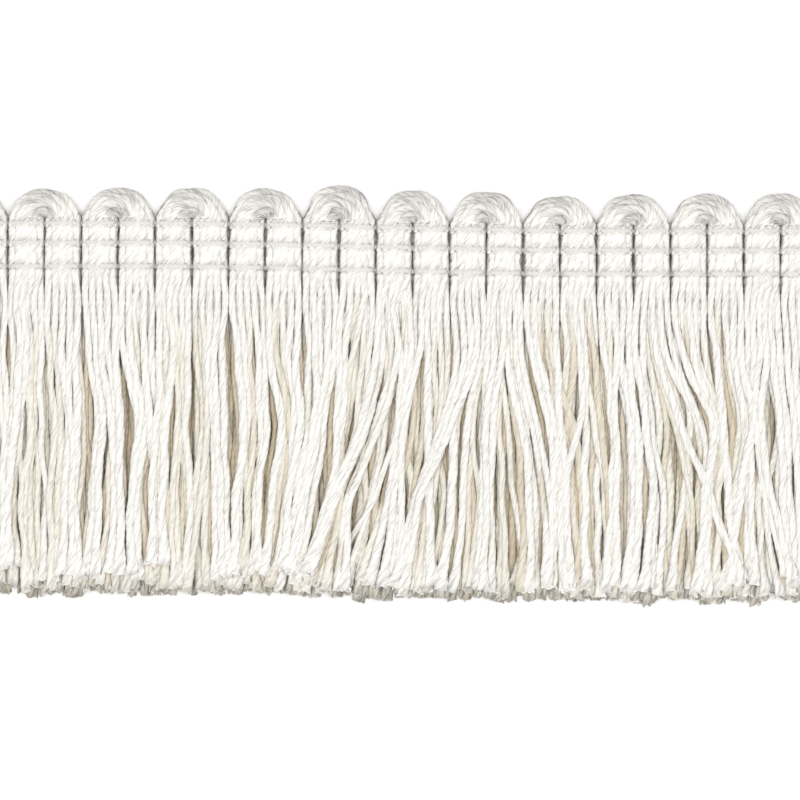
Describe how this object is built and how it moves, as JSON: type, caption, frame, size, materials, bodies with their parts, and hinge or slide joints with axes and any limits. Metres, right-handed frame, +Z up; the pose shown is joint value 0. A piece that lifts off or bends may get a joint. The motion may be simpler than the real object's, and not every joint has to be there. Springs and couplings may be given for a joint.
{
  "type": "brush fringe trim",
  "caption": "Flat cut length of white yarn brush fringe: looped bundles side by side, tied by fine stitch rows, with a loose straight brush cut level below.",
  "frame": {"origin": "middle of the trim's length and height, on the surface that its back lies on", "axes": "+X along the trim, +Y from the cut ends to the loops of the heading, +Z up off the surface, out of the face"},
  "size_m": [0.117, 0.0518, 0.0042],
  "materials": {
    "fringe_yarn": "white plied rayon yarn with a soft sheen, bright on the strands and warm in the gaps",
    "stitch_thread": "fine white twisted sewing thread"
  },
  "bodies": {
    "root": {"yarn_bundle_01": "fringe_yarn", "yarn_bundle_02": "fringe_yarn", "yarn_bundle_03": "fringe_yarn", "yarn_bundle_04": "fringe_yarn", "yarn_bundle_05": "fringe_yarn", "yarn_bundle_06": "fringe_yarn", "yarn_bundle_07": "fringe_yarn", "yarn_bundle_08": "fringe_yarn", "yarn_bundle_09": "fringe_yarn", "yarn_bundle_10": "fringe_yarn", "yarn_bundle_11": "fringe_yarn", "yarn_bundle_12": "fringe_yarn", "yarn_bundle_13": "fringe_yarn", "stitch_row_top": "stitch_thread", "stitch_row_middle": "stitch_thread", "stitch_row_bottom": "stitch_thread"}
  },
  "joints": []
}
